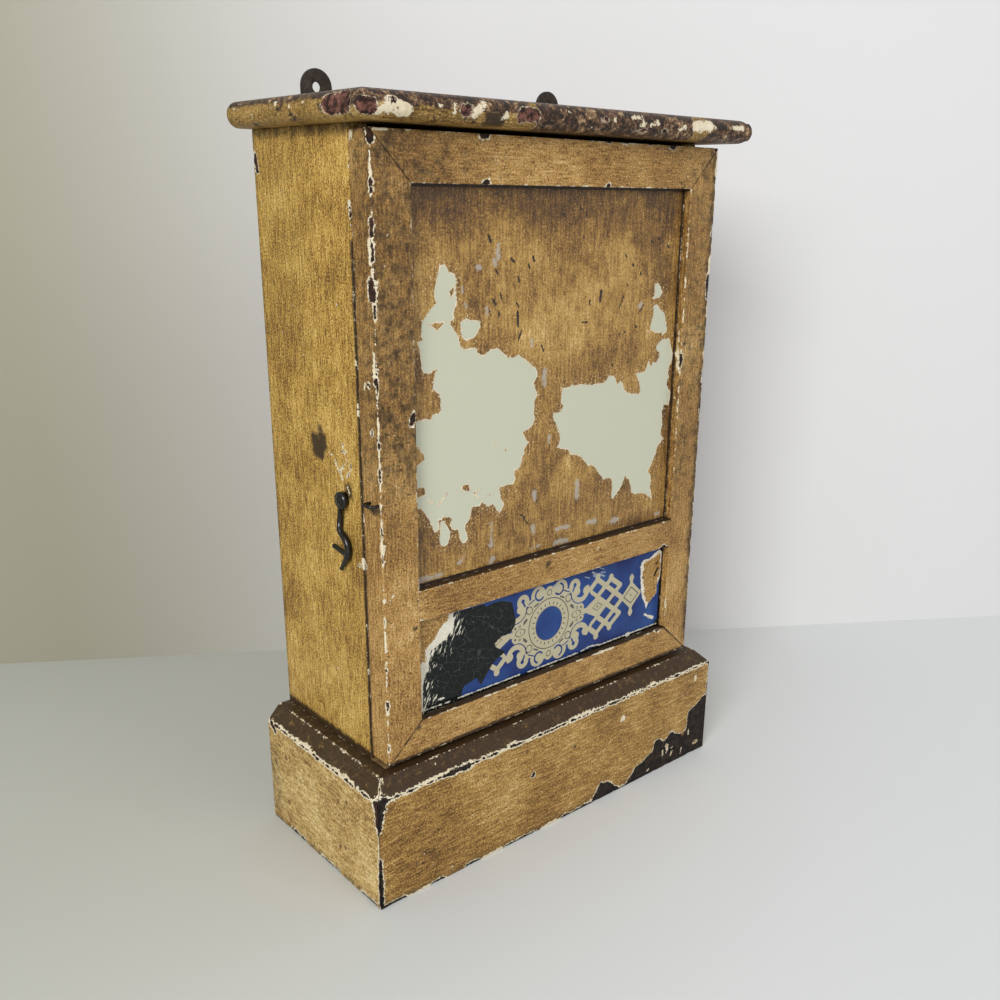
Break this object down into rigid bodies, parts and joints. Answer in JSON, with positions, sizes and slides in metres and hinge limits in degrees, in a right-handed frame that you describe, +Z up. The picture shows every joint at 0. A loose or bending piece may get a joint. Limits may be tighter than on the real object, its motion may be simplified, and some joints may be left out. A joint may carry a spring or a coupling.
{
  "type": "wall cabinet",
  "caption": "Small painted wall cabinet with one glazed door over shelves, a mitred plinth, two hanging plates and a side hook.",
  "frame": {"origin": "on the floor under the middle of the cabinet's width and depth", "axes": "+X to the right of a person facing the cabinet, +Y back towards the wall, +Z up"},
  "size_m": [0.344, 0.154, 0.545],
  "materials": {
    "ochre_paint": "worn satin ochre paint over wood",
    "plinth_paint": "worn satin ochre paint over wood",
    "top_paint": "worn dark brown and ochre paint over wood",
    "bare_wood": "bare aged softwood",
    "opal_glass": "glossy opal glass, partly painted over",
    "painted_glass": "glossy glass, painted on its back",
    "black_iron": "worn black iron",
    "plate_iron": "dark mottled iron strip",
    "hinge_brass": "dull aged brass",
    "steel": "dull wire and nail steel"
  },
  "bodies": {
    "cabinet": {"side_left": "ochre_paint", "side_right": "ochre_paint", "top_board": "top_paint", "floor_board": "bare_wood", "back_panel": "bare_wood", "hanging_rail": "bare_wood", "shelf_lower": "bare_wood", "shelf_upper": "bare_wood", "cleat_lower_left": "bare_wood", "cleat_lower_right": "bare_wood", "cleat_upper_left": "bare_wood", "cleat_upper_right": "bare_wood", "plinth_front": "plinth_paint", "plinth_left": "plinth_paint", "plinth_right": "plinth_paint", "glue_blocks": "bare_wood", "plinth_nails": "steel", "top_nails": "steel", "back_nails": "steel", "hanging_plate_left": "plate_iron", "hanging_plate_right": "plate_iron", "plate_screws": "steel", "hinge_upper_frame_leaf": "hinge_brass", "hinge_lower_frame_leaf": "hinge_brass", "hinge_pins": "hinge_brass", "hinge_screws_frame": "steel", "hook_screw": "black_iron"},
    "door": {"door_stile_left": "ochre_paint", "door_stile_right": "ochre_paint", "door_top_rail": "ochre_paint", "door_middle_rail": "ochre_paint", "door_bottom_rail": "ochre_paint", "glass_upper": "opal_glass", "glass_lower": "painted_glass", "backing_upper": "bare_wood", "backing_lower": "bare_wood", "backing_brads": "steel", "hinge_upper_door_leaf": "hinge_brass", "hinge_lower_door_leaf": "hinge_brass", "hinge_screws_door": "steel", "staple": "black_iron"},
    "hook": {"hook": "black_iron"}
  },
  "joints": [
    {"name": "door_swing", "type": "hinge", "parent": "cabinet", "child": "door", "pos_m": [0.1554, -0.0384, 0.30025], "axis": [0, 0, 1], "range_deg": [0, 190]},
    {"name": "hook_swing", "type": "hinge", "parent": "cabinet", "child": "hook", "pos_m": [-0.1551, -0.018, 0.278], "axis": [1, 0, 0], "range_deg": [-81, 261]}
  ]
}
